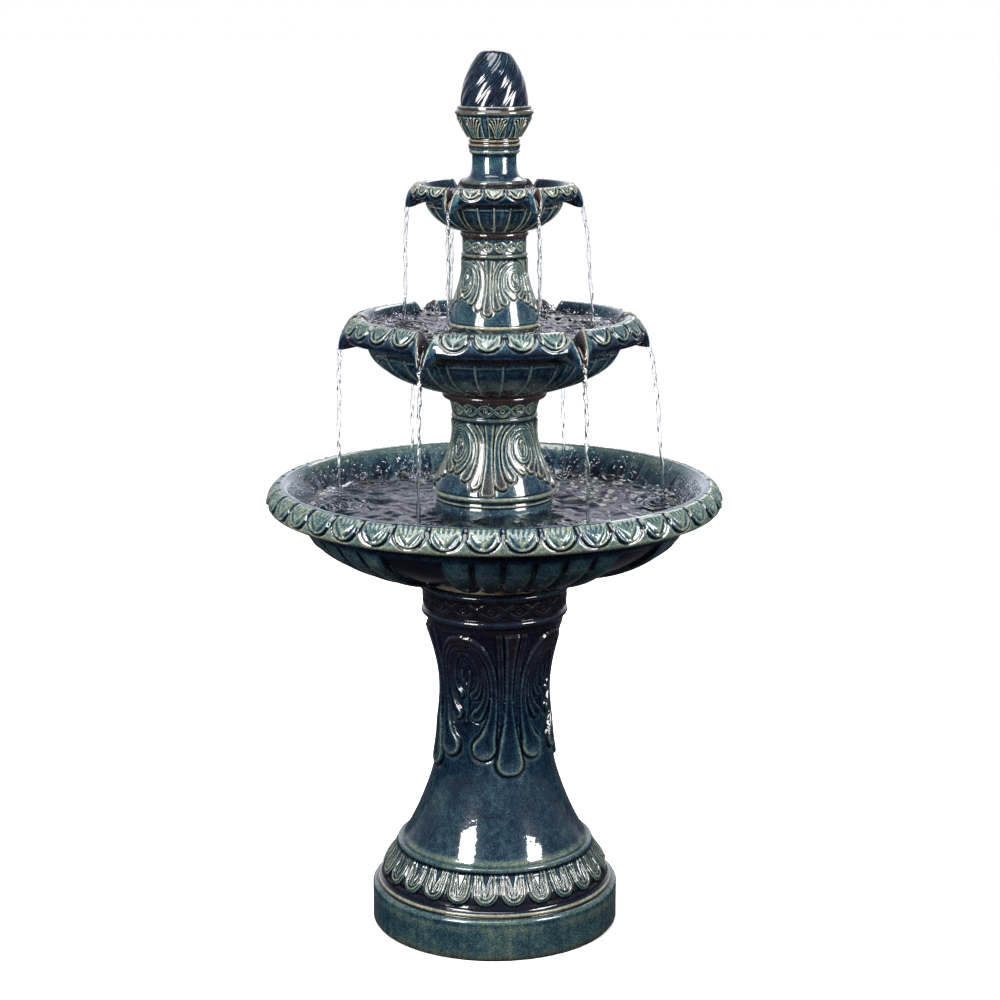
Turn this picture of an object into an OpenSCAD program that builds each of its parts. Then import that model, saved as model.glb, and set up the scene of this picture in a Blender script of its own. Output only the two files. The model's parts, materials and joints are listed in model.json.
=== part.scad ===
// Three-tier tiered water fountain in glazed stoneware. Units are millimetres.
// Z is up from the floor, the tube runs up the Z axis, and -Y is the front.

/* [Heights] */
// top deck of the pedestal
pedestal_top = 457; // [400:1:520]
// inside floor of the large basin
basin_floor = 478; // [465:1:500]
// top ring of the lower column, where the middle bowl sits
lower_column_top = 703; // [650:1:760]
// inside floor of the middle bowl
middle_floor = 716; // [705:1:740]
// top ring of the upper column, where the top bowl sits
upper_column_top = 902; // [860:1:940]
// inside floor of the top bowl
top_floor = 914; // [905:1:930]
// seat of the finial inside the cup
finial_seat = 1046; // [1020:1:1080]
// highest point
total_height = 1120; // [1000:1:1200]

/* [Ceramic] */
// wall thickness of the stoneware
wall = 9; // [7:0.5:12]
// spouts on each of the two upper bowls
spouts = 6; // [4:1:8]
// middle bowl's first spout, as an angle from the front towards +X
spout_angle = 33.3; // [0:0.1:60]
// top bowl's first spout, counted the same way
top_spout_angle = 29.3; // [0:0.1:60]
// eggs modelled round the basin rim
rim_eggs = 40; // [20:1:60]
// gap between ceramic pieces that lift apart
seat_gap = 0.2; // [0.1:0.1:1]

/* [Pump] */
// axis height of the pump's rotor
pump_z = 506; // [495:1:520]
// outside radius of the supply tube
tube_radius = 8; // [6:0.5:10]
// wall of the supply tube
tube_wall = 1.5; // [1:0.25:2.5]

/* [Part] */
// node to draw, or all

$fn = 96;
glaze = [0.13, 0.27, 0.31];
bare = [0.60, 0.55, 0.43];
black = [0.06, 0.06, 0.065];
soft = [0.16, 0.16, 0.16];
clear = [0.75, 0.80, 0.82];
metal = [0.70, 0.70, 0.72];

// Point on a cubic curve with end points a, d and handles b, c.
function curve_point(a, b, c, d, t) =
    pow(1 - t, 3) * a + 3 * pow(1 - t, 2) * t * b + 3 * (1 - t) * t * t * c + t * t * t * d;
// Curve sampled with n spans, without its last point.
function curve(a, b, c, d, n) = [for (i = [0:n - 1]) curve_point(a, b, c, d, i / n)];
// Arc about a centre from angle a0 to a1, in n spans.
function arc(centre, r, a0, a1, n) =
    [for (i = [0:n]) centre + r * [cos(a0 + (a1 - a0) * i / n), sin(a0 + (a1 - a0) * i / n)]];

// Turns a child that points to the front, -Y, round to an angle counted towards +X.
module towards(angle) {
    rotate([0, 0, angle]) children();
}

module tube_solid(r_out, r_in, z0, z1) {
    translate([0, 0, z0]) difference() {
        cylinder(r = r_out, h = z1 - z0);
        translate([0, 0, -1]) cylinder(r = r_in, h = z1 - z0 + 2);
    }
}

// ---- ceramic pieces ----

module pedestal() {
    outer = concat(
        [[158, 0], [160, 3]], arc([154, 48], 6, 0, 90, 3),
        arc([150.5, 57], 2.5, -60, 90, 3), [[147.5, 62], [147.5, 65]],
        curve([146, 68], [144, 82], [133, 88], [128, 101], 4),
        arc([124, 106.5], 3.6, -60, 90, 3),
        curve([120, 113], [106, 134], [93, 165], [84, 193], 6),
        curve([84, 193], [75, 225], [70, 265], [68.7, 305], 6),
        curve([68.7, 305], [68, 340], [76, 372], [86, 404], 6),
        arc([89, 419], 5, -80, 75, 4), [[91.5, 426], [92.5, 446]],
        arc([93, 452], 4.5, -70, 90, 4));
    inner = concat(
        [[70, pedestal_top - seat_gap], [70, pedestal_top - 9]],
        curve([82, pedestal_top - 14], [81, 410], [60, 350], [59.7, 305], 6),
        curve([59.7, 305], [60, 260], [68, 210], [76, 190], 5),
        curve([76, 190], [86, 155], [100, 128], [118, 100], 4),
        [[137, 62], [149, 44], [149, 0]]);
    color(glaze) difference() {
        rotate_extrude() polygon(concat(outer, [[93, pedestal_top - seat_gap]], inner));
        // cord exit through the rear wall
        translate([0, 140, 24]) rotate([-90, 0, 0]) cylinder(r = 10, h = 30);
    }
}

// Shared bowl section: underside curve, rim outline, then the inside back to the centre.
module bowl_solid(under, rim, inside) {
    rotate_extrude() polygon(concat(under, rim, inside));
}

module basin() {
    under = concat(
        [[14, basin_floor - 10], [76, basin_floor - 10], [76, pedestal_top], [88, pedestal_top],
         [90, 465]],
        curve([104, 468], [160, 472], [217, 493], [246, 537], 9));
    rim = concat(
        [[247, 544], [252, 549], [281, 553]],
        arc([279.5, 560], 7.5, -75, 10, 3),
        curve([286.5, 563], [285, 574], [278, 582], [268, 584], 3),
        [[264, 583]]);
    inside = concat(
        curve([258, 579], [244, 560], [236, 538], [222, 518], 4),
        curve([222, 518], [190, 484], [150, basin_floor], [90, basin_floor], 6),
        [[90, basin_floor], [14, basin_floor]]);
    color(glaze) difference() {
        bowl_solid(under, rim, inside);
        for (k = [0:rim_eggs - 1]) towards(-2.4 + 4.5 + 360 * k / rim_eggs)
            translate([0, -286.5, 572]) rotate([-31, 0, 0]) cylinder(r = 2, h = 26, center = true, $fn = 6);
    }
}

// Spout of a tiered bowl: a grooved tongue that hangs over the rim.
module spout_tongue(r0, r1, z_top, drop, width) {
    translate([width / 2, 0, 0]) rotate([90, 0, -90])
        linear_extrude(height = width)
            polygon([[r0, z_top - 13], [r0, z_top - 2], [r0 + 0.45 * (r1 - r0), z_top - 3],
                [r1 - 7, z_top - 0.45 * drop], [r1, z_top - drop],
                [r1 - 4, z_top - drop - 1], [r1 - 0.42 * (r1 - r0), z_top - 0.72 * drop]]);
}

module middle_bowl() {
    under = concat(
        [[12, 707], [47, 707], [47, 697], [52, 697], [52, lower_column_top + seat_gap],
         [66, lower_column_top + seat_gap]],
        curve([73, 708], [113, 715], [150, 733], [158, 757], 7));
    rim = concat(
        [[160, 761], [166, 763.5], [184, 765]],
        arc([183.5, 770.5], 5.5, -60, 20, 3),
        curve([188.5, 774], [187, 784], [180, 794], [168, 795], 4));
    inside = concat(
        [[163, 793]], curve([158, 787], [149, 766], [146, 752], [135, 739], 4),
        curve([135, 739], [118, 722], [95, middle_floor], [60, middle_floor], 5),
        [[60, middle_floor], [12, middle_floor]]);
    color(glaze) difference() {
        union() {
            bowl_solid(under, rim, inside);
            for (k = [0:spouts - 1]) towards(spout_angle + 360 * k / spouts)
                spout_tongue(158, 194, 783, 28, 16);
        }
        for (k = [0:spouts - 1]) towards(spout_angle + 360 * k / spouts)
            translate([0, -139, 796]) rotate([90, 0, 0]) linear_extrude(height = 40)
                polygon([[-10, 5], [-7, -4], [-2.5, -12.5], [2.5, -12.5], [7, -4], [10, 5]]);
    }
}

module top_bowl() {
    under = concat(
        [[11, 906], [31, 906], [31, 896], [35, 896], [35, upper_column_top + seat_gap],
         [42, upper_column_top + seat_gap]],
        curve([47, 905], [66, 909], [80, 922], [84, 936], 6));
    rim = concat(
        [[86, 939], [98, 940]], arc([99, 944.5], 4.5, -60, 25, 3),
        curve([103, 947], [102, 954], [99, 958.5], [93, 958.7], 3));
    inside = concat(
        [[90, 957]], curve([87, 953], [80, 940], [77, 932], [71, 926], 3),
        curve([71, 926], [60, 917], [52, top_floor], [40, top_floor], 4),
        [[40, top_floor], [11, top_floor]]);
    color(glaze) difference() {
        union() {
            bowl_solid(under, rim, inside);
            for (k = [0:spouts - 1]) towards(top_spout_angle + 360 * k / spouts)
                spout_tongue(86, 108, 950, 18, 11);
        }
        for (k = [0:spouts - 1]) towards(top_spout_angle + 360 * k / spouts)
            translate([0, -72, 960]) rotate([90, 0, 0]) linear_extrude(height = 34)
                polygon([[-7, 4], [-5, -3], [-1.8, -9.5], [1.8, -9.5], [5, -3], [7, 4]]);
    }
}

module lower_column() {
    outer = concat(
        [[74, basin_floor + seat_gap], [74.5, 560], [73, 566], [74, 568], [74, 571]],
        arc([75.5, 575], 3.2, -60, 60, 3),
        curve([76, 580], [68, 600], [54, 620], [51.8, 652], 6),
        [[51.8, 664], [53.2, 667]], arc([51.8, 670.5], 2.8, -60, 60, 3),
        curve([53, 675], [53.5, 684], [56, 690], [59, 692], 3),
        arc([60.5, 697.5], 5.3, -70, 90, 4));
    inner = concat(
        [[53, lower_column_top], [53, 690]],
        curve([47, 684], [42, 664], [43, 642], [48, 620], 4),
        curve([48, 620], [56, 604], [65, 590], [65, 566], 4),
        [[65, basin_floor + seat_gap]]);
    color(glaze) difference() {
        rotate_extrude() polygon(concat(outer, inner));
        // water inlets and cord slot in the foot
        for (k = [0:5]) towards(30 + 60 * k) translate([-9, -85, basin_floor - 1])
            cube([18, 30, 15]);
    }
}

module upper_column() {
    outer = concat(
        [[55, middle_floor + seat_gap], [55.5, 776], [54.5, 780], [55.5, 782]],
        arc([55, 786], 2.6, -60, 60, 3),
        curve([56, 792], [51, 818], [42, 834], [40.2, 854], 5),
        [[39.6, 866], [40.2, 869.5]], arc([39, 873.5], 2.2, -60, 60, 3),
        curve([38, 879], [38, 886], [38.5, 891], [39.5, 893.5], 3),
        arc([38.5, 898], 3.8, -60, 90, 4));
    inner = concat(
        [[35.8, upper_column_top], [35.8, 893]],
        curve([30, 888], [29, 868], [31, 850], [35, 834], 4),
        curve([35, 834], [41, 818], [46, 806], [46, 786], 4),
        [[46, middle_floor + seat_gap]]);
    color(glaze) difference() {
        rotate_extrude() polygon(concat(outer, inner));
        for (k = [0:3]) towards(45 + 90 * k) translate([-6, -62, middle_floor - 1]) cube([12, 24, 9]);
    }
}

module crown() {
    outer = concat(
        [[38, top_floor + seat_gap], [38, 952], [40, 956]], arc([36.5, 961], 3.8, -45, 80, 3),
        curve([35.8, 966], [29, 969], [27.7, 974], [27.2, 985], 4),
        [[27.5, 995]], arc([28.5, 999], 2.6, -80, 45, 3), [[31.4, 1003], [31.4, 1010], [30.4, 1015]],
        curve([32, 1018], [38, 1024], [43, 1034], [45.5, 1041], 4),
        arc([45.5, 1046], 3, -50, 70, 3), [[45, 1054], [42.2, 1053.5]]);
    inner = [[42.2, finial_seat], [31, finial_seat], [29, 1024], [21, 1008], [19, 972],
        [29, 958], [29, top_floor + seat_gap]];
    color(glaze) difference() {
        rotate_extrude() polygon(concat(outer, inner));
        for (k = [0:3]) towards(45 + 90 * k) translate([-4, -44, top_floor - 1]) cube([8, 20, 8]);
    }
}

module finial() {
    outer = concat(
        [[40.2, finial_seat + seat_gap], [41.6, 1055]],
        curve([41.6, 1055], [41.5, 1076], [36, 1092], [20.5, 1114], 8),
        curve([20.5, 1114], [17.5, 1118], [15, total_height], [12, total_height], 3));
    inner = concat([[8.6, 1118], [8.6, 1104]],
        curve([14, 1103], [26, 1098], [33, 1080], [33, 1054], 5),
        [[32.5, finial_seat + seat_gap]]);
    color(glaze) rotate_extrude() polygon(concat(outer, [[8.6, total_height]], inner));
}

// ---- seals, tube and nozzle ----

module basin_stopper() {
    color(black) translate([0, 0, basin_floor - 10]) union() {
        cylinder(r = 14, h = 10);
        translate([0, 0, 10]) cylinder(r = 18, h = 2.5);
    }
}

module grommet(hole, z0, z1) {
    color(black) rotate_extrude() polygon([[tube_radius + 0.1, z0 - 2], [hole + 4, z0 - 2],
        [hole + 4, z0], [hole, z0], [hole, z1], [hole + 4, z1], [hole + 3, z1 + 4],
        [tube_radius + 0.1, z1 + 4]]);
}

module middle_grommet() {
    grommet(12, 707, middle_floor);
}

module top_grommet() {
    grommet(11, 906, top_floor);
}

module supply_tube() {
    color(clear) tube_solid(tube_radius, tube_radius - tube_wall, pump_z + 24, 1108);
}

module outlet_nozzle() {
    color(black) rotate_extrude() polygon([[4, 1102], [tube_radius - tube_wall - 0.05, 1102],
        [tube_radius - tube_wall - 0.05, 1108.2], [8.6, 1108.2], [8.6, 1119], [5, 1119], [4, 1116]]);
}

module tube_clamp() {
    color(metal) union() {
        tube_solid(tube_radius + 1, tube_radius, pump_z + 30, pump_z + 35);
        translate([tube_radius + 0.5, -2.5, pump_z + 30]) cube([7, 1.4, 5]);
        translate([tube_radius + 0.5, 1.1, pump_z + 30]) cube([7, 1.4, 5]);
    }
}

// ---- pump: rotor axis along Y through (0, pump_z), inlet to the front ----

// Ring or disc about the rotor axis, from y0 to y1.
module along_y(r_out, r_in, y0, y1) {
    translate([0, y0, pump_z]) rotate([-90, 0, 0]) difference() {
        cylinder(r = r_out, h = y1 - y0);
        if (r_in > 0) translate([0, 0, -1]) cylinder(r = r_in, h = y1 - y0 + 2);
    }
}

module pump_housing() {
    color(black) difference() {
        union() {
            translate([-23, -8, pump_z - 20]) cube([46, 52, 40]);
            translate([-19, 44, pump_z - 16]) cube([38, 3, 32]);
            // skid plate under the whole pump
            translate([-23, -26, pump_z - 23]) cube([46, 70, 3]);
        }
        along_y(15, 0, -9, 6);
        along_y(9, 0, 5, 34);
        // potted pocket for the coils, round the rotor can
        translate([-20, 9, pump_z - 17]) cube([40, 32, 34]);
        translate([0, 30, pump_z]) rotate([-90, 0, 0]) cylinder(r = 5, h = 20);
        translate([0, 0, pump_z + 10]) cylinder(r = 5, h = 12);
    }
}

module motor_core() {
    color(metal) difference() {
        translate([-19.5, 9.5, pump_z - 16.5]) cube([39, 31, 33]);
        along_y(10.6, 0, 9, 36);
        translate([0, 36, pump_z]) rotate([-90, 0, 0]) cylinder(r = 5.2, h = 6);
    }
}

module rotor_can() {
    color(black) difference() {
        along_y(10.4, 0, 9, 35.5);
        along_y(9, 0, 8, 33.5);
    }
}

module volute_cover() {
    color(black) union() {
        along_y(17.3, 6, -11, -8);
        for (s = [-1, 1]) translate([s * 17.5 - 2, -11, pump_z - 6]) cube([4, 3, 12]);
        // spider that holds the front bushing
        difference() {
            union() {
                along_y(3.6, 0, -11, -6.5);
                translate([-6.5, -11, pump_z - 0.8]) cube([13, 2, 1.6]);
            }
            along_y(2.6, 0, -9.5, -6);
        }
    }
}

module intake_grille() {
    color(black) difference() {
        translate([-23, -26, pump_z - 20]) cube([46, 17.5, 40]);
        translate([-20.5, -24, pump_z - 17.5]) cube([41, 18, 35]);
        for (k = [0:5]) translate([-18, -27, pump_z - 15 + 5.6 * k]) cube([36, 4, 2.2]);
        along_y(4, 0, -27, -22);
    }
}

module intake_sponge() {
    color(soft) difference() {
        translate([-20, -21.5, pump_z - 17]) cube([40, 8, 34]);
        along_y(5, 0, -22, -13);
    }
}

module pump_outlet() {
    color(black) difference() {
        union() {
            translate([0, 0, pump_z + 20]) cylinder(r = 9.5, h = 3, $fn = 6);
            translate([0, 0, pump_z + 23]) cylinder(r = tube_radius - tube_wall, h = 20);
        }
        translate([0, 0, pump_z + 19]) cylinder(r = 4.5, h = 26);
    }
}

module impeller() {
    color(bare) union() {
        along_y(3.4, 1.57, -5.5, 5);
        along_y(12.5, 1.57, 3, 4.5);
        for (k = [0:5]) translate([0, -5, pump_z]) rotate([0, 60 * k, 0])
            translate([3, 0, -0.8]) cube([9.3, 8.5, 1.6]);
    }
}

module rotor_magnet() {
    color(soft) along_y(8.4, 1.57, 5, 31);
}

module impeller_shaft() {
    color([0.9, 0.9, 0.88]) along_y(1.5, 0, -8.5, 33);
}

module shaft_bushings() {
    color(black) union() {
        along_y(2.6, 1.5, -9, -6.5);
        along_y(3.2, 1.5, 31.5, 33.5);
    }
}

module flow_dial() {
    color(soft) union() {
        along_y(3.93, 0, -29, -22.2);
        along_y(9, 0, -29, -26.2);
        translate([-1.2, -31, pump_z - 8]) cube([2.4, 2.2, 16]);
    }
}

module suction_cups() {
    color(soft) for (sx = [-1, 1], y = [-18, 34]) translate([sx * 21, y, 0]) union() {
        translate([0, 0, basin_floor]) cylinder(r1 = 8, r2 = 4, h = 5);
        translate([0, 0, basin_floor + 4.5]) cylinder(r = 3, h = pump_z - 23 - basin_floor - 4.5);
    }
}

module cord_gland() {
    color(black) difference() {
        translate([0, 47, pump_z - 4]) rotate([-90, 0, 0]) cylinder(r1 = 6, r2 = 4, h = 10);
        translate([0, 46, pump_z - 4]) rotate([-90, 0, 0]) cylinder(r = 2.4, h = 12);
    }
}

pedestal();
basin();
basin_stopper();
lower_column();
middle_bowl();
middle_grommet();
upper_column();
top_bowl();
top_grommet();
crown();
finial();
outlet_nozzle();
supply_tube();
tube_clamp();
pump_housing();
motor_core();
rotor_can();
volute_cover();
intake_grille();
intake_sponge();
pump_outlet();
impeller();
rotor_magnet();
impeller_shaft();
shaft_bushings();
flow_dial();
suction_cups();
cord_gland();
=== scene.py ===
"""Three-tier glazed fountain: detailed stoneware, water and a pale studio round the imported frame."""

import json
import math
import random

import bpy
import numpy as np
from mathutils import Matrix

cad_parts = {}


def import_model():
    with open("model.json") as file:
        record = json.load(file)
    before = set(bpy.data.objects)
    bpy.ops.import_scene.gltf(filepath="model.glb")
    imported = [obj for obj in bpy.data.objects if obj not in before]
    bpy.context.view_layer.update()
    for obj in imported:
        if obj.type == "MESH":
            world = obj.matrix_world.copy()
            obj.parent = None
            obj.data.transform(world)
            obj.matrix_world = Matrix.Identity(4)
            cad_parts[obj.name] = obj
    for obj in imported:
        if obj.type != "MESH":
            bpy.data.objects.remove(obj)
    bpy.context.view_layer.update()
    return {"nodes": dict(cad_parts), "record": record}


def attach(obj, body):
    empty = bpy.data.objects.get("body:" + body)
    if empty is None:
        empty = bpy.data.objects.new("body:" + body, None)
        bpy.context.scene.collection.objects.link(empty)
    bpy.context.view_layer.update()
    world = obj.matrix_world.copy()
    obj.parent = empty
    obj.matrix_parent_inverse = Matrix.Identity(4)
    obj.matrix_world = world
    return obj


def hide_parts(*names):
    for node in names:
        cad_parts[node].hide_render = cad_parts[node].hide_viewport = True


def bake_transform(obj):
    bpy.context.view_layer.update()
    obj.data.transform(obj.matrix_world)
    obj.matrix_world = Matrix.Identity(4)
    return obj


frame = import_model()

# Pieces are shaped in mm, with angles in degrees from the front, counterclockwise seen from above.
MM = 0.001
SPOUTS = 6
SPOUT_STEP = 360.0 / SPOUTS
MIDDLE_SPOUT = 33.3
TOP_SPOUT = 29.3


# ---- profiles

class Profile:
    """Closed outline of a turned piece in (radius, height), with named spans of rows."""

    def __init__(self):
        self.points = []
        self.spans = {}

    def add(self, name, points):
        start = len(self.points)
        self.points.extend(tuple(p) for p in points)
        self.spans[name] = slice(start, len(self.points))

    def array(self):
        return np.array(self.points, float)


def line(points, spacing):
    """Straight runs through the points, without the last point."""
    out = []
    for a, b in zip(points[:-1], points[1:]):
        n = max(1, math.ceil(math.dist(a, b) / spacing))
        out += [(a[0] + (b[0] - a[0]) * i / n, a[1] + (b[1] - a[1]) * i / n) for i in range(n)]
    return out


def curve(a, b, c, d, spacing):
    """Cubic curve from a to d with handles b and c, without its last point."""
    length = math.dist(a, b) + math.dist(b, c) + math.dist(c, d)
    n = max(3, math.ceil(0.95 * length / spacing))
    out = []
    for i in range(n):
        t = i / n
        k = ((1 - t) ** 3, 3 * (1 - t) ** 2 * t, 3 * (1 - t) * t * t, t ** 3)
        out.append(tuple(sum(w * p[j] for w, p in zip(k, (a, b, c, d))) for j in (0, 1)))
    return out


def arc(cx, cz, r, a0, a1, spacing):
    """Arc about (cx, cz), both ends included, angles in degrees."""
    n = max(3, math.ceil(abs(math.radians(a1 - a0)) * r / spacing))
    angles = [math.radians(a0 + (a1 - a0) * i / n) for i in range(n + 1)]
    return [(cx + r * math.cos(a), cz + r * math.sin(a)) for a in angles]


def smooth(low, high, x):
    """0 below low, 1 above high, and smooth between; low may be above high."""
    t = np.clip((x - low) / (high - low), 0, 1)
    return t * t * (3 - 2 * t)


def ridge(d, width):
    """Smooth bump, 1 at d = 0."""
    return np.exp(-(d / width) ** 2)


def wrap(angle, period):
    """Angle moved into [-period/2, period/2)."""
    return (angle + period / 2) % period - period / 2


def run_length(radius, height):
    """Distance along the outline from the first of these rows."""
    up = np.diff(height, axis=0, prepend=height[:1])
    out = np.diff(radius, axis=0, prepend=radius[:1])
    return np.cumsum(np.hypot(up, out), 0)


def u_distance(x, y, half):
    """Signed distance to a U that is open at the top: inside is negative, y is up from its tip."""
    return np.where(y > half, np.abs(x) - half, np.hypot(x, y - half) - half)


# ---- meshes

def mesh_object(name, points, faces):
    """Smooth-shaded mesh object from points in metres and faces that all have as many corners."""
    mesh = bpy.data.meshes.new(name)
    points = np.asarray(points, np.float32)
    faces = np.asarray(faces, np.int32)
    corners = faces.shape[1]
    mesh.vertices.add(len(points))
    mesh.vertices.foreach_set("co", points.ravel())
    mesh.loops.add(faces.size)
    mesh.loops.foreach_set("vertex_index", faces.ravel())
    mesh.polygons.add(len(faces))
    mesh.polygons.foreach_set("loop_start", np.arange(0, faces.size, corners, dtype=np.int32))
    mesh.polygons.foreach_set("use_smooth", np.ones(len(faces), bool))
    mesh.update(calc_edges=True)
    mesh.validate()
    obj = bpy.data.objects.new(name, mesh)
    bpy.context.scene.collection.objects.link(obj)
    return obj


def shades(p, default, **spans):
    """The default shade, with other shades on some of the profile's spans."""
    t = np.array(default)
    for span, shade in spans.items():
        t[p.spans[span]] = shade
    return t


def float_attribute(obj, name, values):
    data = obj.data.attributes.new(name, "FLOAT", "POINT").data
    data.foreach_set("value", np.asarray(values, np.float32).ravel())


def grid_faces(rows, columns, close_rows=True):
    """Quads of a grid that closes round its columns, and round its rows if asked."""
    i = np.arange(rows if close_rows else rows - 1)[:, None]
    j = np.arange(columns)[None, :]
    i2 = (i + 1) % rows
    j2 = (j + 1) % columns
    quads = [i * columns + j, i * columns + j2, i2 * columns + j2, i2 * columns + j]
    return np.stack(quads, axis=-1).reshape(-1, 4)


def curvature(p, reach):
    """Convexity of a closed grid of points, in 1/mm: positive on edges, negative in grooves."""
    du = np.roll(p, -1, 1) - np.roll(p, 1, 1)
    dv = np.roll(p, -1, 0) - np.roll(p, 1, 0)
    normal = np.cross(du, dv)
    normal /= np.maximum(np.linalg.norm(normal, axis=2, keepdims=True), 1e-9)
    total = 0
    for axis in (0, 1):
        ahead = p - np.roll(p, -reach, axis)
        behind = p - np.roll(p, reach, axis)
        la = np.maximum(np.linalg.norm(ahead, axis=2, keepdims=True), 0.2)
        lb = np.maximum(np.linalg.norm(behind, axis=2, keepdims=True), 0.2)
        bend = (ahead / la + behind / lb) / (0.5 * (la + lb))
        total = total + (bend * normal).sum(axis=2)
    return total


def stoneware(name, profile, columns, node, body, relief, tone, base=None, rust=None, bare=None):
    """Turned piece whose surface is pushed out by relief and shaded by tone and rust. It replaces its node.
    These three take (azimuth, radius, height, spans) and give a value for each point of the grid."""
    outline = profile.array()
    azimuth = 360.0 * np.arange(columns)[None, :] / columns
    if base is None:
        radius = np.repeat(outline[:, :1], columns, 1)
        height = np.repeat(outline[:, 1:], columns, 1)
    else:
        radius, height = base(outline, azimuth)
    dr = np.roll(radius, -1, 0) - np.roll(radius, 1, 0)
    dz = np.roll(height, -1, 0) - np.roll(height, 1, 0)
    length = np.maximum(np.hypot(dr, dz), 1e-6)
    push = relief(azimuth, radius, height, profile.spans)
    r = radius + push * dz / length
    z = height - push * dr / length
    a = np.radians(azimuth)
    points = np.stack([r * np.sin(a), -r * np.cos(a), z], axis=-1)
    obj = mesh_object(name, points.reshape(-1, 3) * MM, grid_faces(*r.shape))
    bend = 0.6 * curvature(points, 1) + 0.4 * curvature(points, 2)
    bend = (bend + np.roll(bend, 1, 0) + np.roll(bend, -1, 0)
            + np.roll(bend, 1, 1) + np.roll(bend, -1, 1)) / 5
    tones = tone(azimuth, radius, height, profile.spans)
    accent = 0.62 + 0.38 * np.clip(tones, 0, 1)
    float_attribute(obj, "edge", np.clip(0.5 + 1.1 * accent * bend, 0, 1))
    # The tone holds the glaze's shade and, in places, painted shade under the basin and under rims.
    float_attribute(obj, "tone", tones)
    rusts = np.zeros(r.shape) if rust is None else rust(azimuth, radius, height, profile.spans)
    float_attribute(obj, "rust", rusts)
    obj.data.materials.append(GLAZE)
    if bare is not None:
        obj.data.materials.append(BARE_CLAY)
        index = np.zeros(r.shape, np.int32)
        for span in bare:
            index[profile.spans[span]] = 1
        obj.data.polygons.foreach_set("material_index", index.ravel())
    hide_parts(node)
    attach(obj, body)


# ---- materials

class Graph:
    """The node tree of a material or a world, with one short call for each kind of node used here."""

    def __init__(self, tree):
        self.nodes = tree.nodes
        self.links = tree.links

    def feed(self, socket, value):
        """Set a socket to a number or a colour, or link it to another node's output."""
        if isinstance(value, (int, float)):
            socket.default_value = value
        elif isinstance(value, tuple):
            socket.default_value = (*value, 1)
        else:
            self.links.new(value, socket)

    def ramp(self, factor, stops):
        node = self.nodes.new("ShaderNodeValToRGB")
        elements = node.color_ramp.elements
        while len(elements) < len(stops):
            elements.new(0.5)
        for element, (position, colour) in zip(elements, stops):
            element.position = position
            element.color = (*colour, 1)
        self.links.new(factor, node.inputs["Fac"])
        return node.outputs["Color"]

    def grey_ramp(self, factor, stops):
        return self.ramp(factor, [(position, (grey,) * 3) for position, grey in stops])

    def coordinates(self, scale=(1, 1, 1)):
        """Object coordinates, scaled along each axis."""
        place = self.nodes.new("ShaderNodeTexCoord")
        mapping = self.nodes.new("ShaderNodeMapping")
        mapping.inputs["Scale"].default_value = scale
        self.links.new(place.outputs["Object"], mapping.inputs["Vector"])
        return mapping.outputs["Vector"]

    def noise(self, vector, scale, detail=3.0, roughness=0.55):
        node = self.nodes.new("ShaderNodeTexNoise")
        set_inputs(node, Scale=scale, Detail=detail, Roughness=roughness)
        self.links.new(vector, node.inputs["Vector"])
        return node.outputs["Fac"]

    def attribute(self, name):
        node = self.nodes.new("ShaderNodeAttribute")
        node.attribute_name = name
        return node.outputs["Fac"]

    def math(self, operation, a, b, clamp=False):
        node = self.nodes.new("ShaderNodeMath")
        node.operation = operation
        node.use_clamp = clamp
        self.feed(node.inputs[0], a)
        self.feed(node.inputs[1], b)
        return node.outputs[0]

    def mix(self, factor, a, b, blend="MIX"):
        node = self.nodes.new("ShaderNodeMix")
        node.data_type = "RGBA"
        node.blend_type = blend
        for index, value in ((0, factor), (6, a), (7, b)):
            self.feed(node.inputs[index], value)
        return node.outputs[2]

    def bump(self, height, strength, distance, *sockets):
        """Bump from a height, fed to each of the normal sockets."""
        node = self.nodes.new("ShaderNodeBump")
        set_inputs(node, Strength=strength, Distance=distance)
        self.links.new(height, node.inputs["Height"])
        for socket in sockets:
            self.links.new(node.outputs["Normal"], socket)


def set_inputs(node, **values):
    """Set sockets by name, with _ for a space."""
    for key, value in values.items():
        node.inputs[key.replace("_", " ")].default_value = value


def material(name):
    mat = bpy.data.materials.new(name)
    mat.use_nodes = True
    return mat, Graph(mat.node_tree), mat.node_tree.nodes["Principled BSDF"]


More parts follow.
